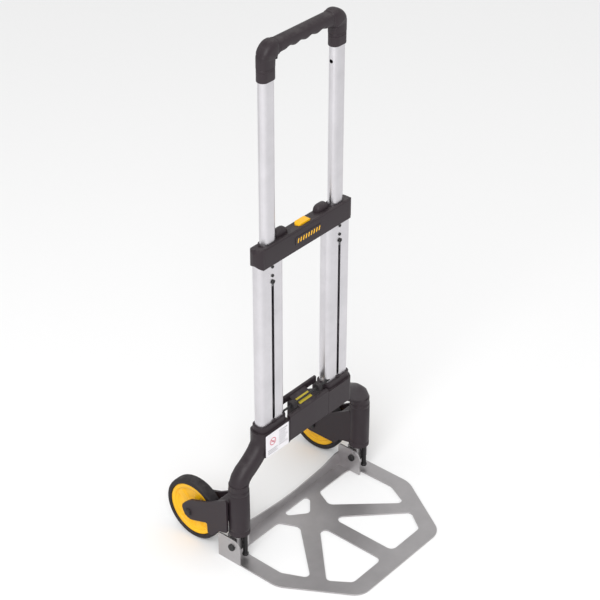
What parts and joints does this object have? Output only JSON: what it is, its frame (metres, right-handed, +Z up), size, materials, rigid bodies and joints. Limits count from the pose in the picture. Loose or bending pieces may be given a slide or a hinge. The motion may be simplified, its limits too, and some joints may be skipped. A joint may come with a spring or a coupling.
{
  "type": "folding hand truck",
  "caption": "Folding hand truck with a telescopic pull handle, folding skeleton toe plate and swing-in wheels.",
  "frame": {"origin": "on the floor under the middle of the truck's overall width and depth", "axes": "+Z up along the tubes, +X to the truck's right seen from the load side, load side (toe plate) towards -Y, wheels towards +Y"},
  "size_m": [0.4054, 0.407, 0.999],
  "materials": {
    "sheet_metal": "matt sheet aluminium",
    "black_steel": "blackened",
    "steel": "zinc plated",
    "charcoal_plastic": "fine grain moulding",
    "dark_rubber": "matt",
    "aluminium": "satin anodised",
    "grey_nylon": "satin",
    "amber_plastic": "satin",
    "white_label": null,
    "olive_label": null
  },
  "bodies": {
    "frame": {"foot_block_left": "sheet_metal", "foot_block_right": "sheet_metal", "hinge_bolt_left": "black_steel", "hinge_bolt_right": "black_steel", "stop_post_left": "black_steel", "stop_post_right": "black_steel", "knuckle_pin_left": "steel", "knuckle_pin_right": "steel", "leg_left": "charcoal_plastic", "leg_right": "charcoal_plastic", "crossmember": "charcoal_plastic", "cross_rod": "black_steel", "rod_buffer_left": "dark_rubber", "rod_buffer_right": "dark_rubber", "warning_label": "white_label", "block_label": "olive_label", "profile_left": "aluminium", "profile_right": "aluminium", "slot_stop_left": "charcoal_plastic", "slot_stop_right": "charcoal_plastic", "rivet_upper_left": "black_steel", "rivet_upper_right": "black_steel", "rivet_lower_left": "black_steel", "rivet_lower_right": "black_steel", "crossbar_front": "charcoal_plastic", "crossbar_rear": "charcoal_plastic", "crossbar_badge": "charcoal_plastic", "guide_bushing_left": "charcoal_plastic", "guide_bushing_right": "charcoal_plastic", "button_spring": "steel", "latch_spring_left": "steel", "latch_spring_right": "steel"},
    "plate": {"toe_plate": "sheet_metal"},
    "handle": {"upper_tube_left": "aluminium", "upper_tube_right": "aluminium", "tube_slider_left": "grey_nylon", "tube_slider_right": "grey_nylon", "guide_stud_left": "black_steel", "guide_stud_right": "black_steel", "handle_collar_left": "charcoal_plastic", "handle_collar_right": "charcoal_plastic", "handle_grip": "charcoal_plastic"},
    "button": {"release_button": "amber_plastic"},
    "latch_left": {"latch_pin_left": "steel"},
    "latch_right": {"latch_pin_right": "steel"},
    "swing_left": {"fork_left": "charcoal_plastic", "axle_left": "black_steel"},
    "swing_right": {"fork_right": "charcoal_plastic", "axle_right": "black_steel"},
    "wheel_left": {"wheel_disc_left": "amber_plastic", "tyre_left": "dark_rubber"},
    "wheel_right": {"wheel_disc_right": "amber_plastic", "tyre_right": "dark_rubber"}
  },
  "joints": [
    {"name": "toe_plate_fold", "type": "hinge", "parent": "frame", "child": "plate", "pos_m": [0, 0.0365, 0.034], "axis": [1, 0, 0], "range_deg": [-90, 0]},
    {"name": "fork_left_swing", "type": "hinge", "parent": "frame", "child": "swing_left", "pos_m": [-0.173, 0.0365, 0.1], "axis": [0, 0, 1], "range_deg": [-90, 0]},
    {"name": "fork_right_swing", "type": "hinge", "parent": "frame", "child": "swing_right", "pos_m": [0.173, 0.0365, 0.1], "axis": [0, 0, 1], "range_deg": [0, 90]},
    {"name": "wheel_left_spin", "type": "hinge", "parent": "swing_left", "child": "wheel_left", "pos_m": [-0.1768, 0.1405, 0.063], "axis": [1, 0, 0], "continuous": true},
    {"name": "wheel_right_spin", "type": "hinge", "parent": "swing_right", "child": "wheel_right", "pos_m": [0.1768, 0.1405, 0.063], "axis": [1, 0, 0], "continuous": true},
    {"name": "handle_slide", "type": "slide", "parent": "frame", "child": "handle", "axis": [0, 0, 1], "range_m": [-0.285, 0]},
    {"name": "button_press", "type": "slide", "parent": "frame", "child": "button", "axis": [0, 0, 1], "range_m": [-0.0045, 0], "stiffness_N_per_m": 700, "springref_m": 0.003, "deforming": ["button_spring"]},
    {"name": "latch_left_slide", "type": "slide", "parent": "frame", "child": "latch_left", "axis": [-1, 0, 0], "range_m": [-0.0045, 0]},
    {"name": "latch_right_slide", "type": "slide", "parent": "frame", "child": "latch_right", "axis": [1, 0, 0], "range_m": [-0.0045, 0]}
  ],
  "couplings": [
    {"joint": "fork_left_swing", "follows": "toe_plate_fold", "ratio": 1},
    {"joint": "fork_right_swing", "follows": "toe_plate_fold", "ratio": -1},
    {"joint": "latch_left_slide", "follows": "button_press", "ratio": 1},
    {"joint": "latch_right_slide", "follows": "button_press", "ratio": 1}
  ]
}
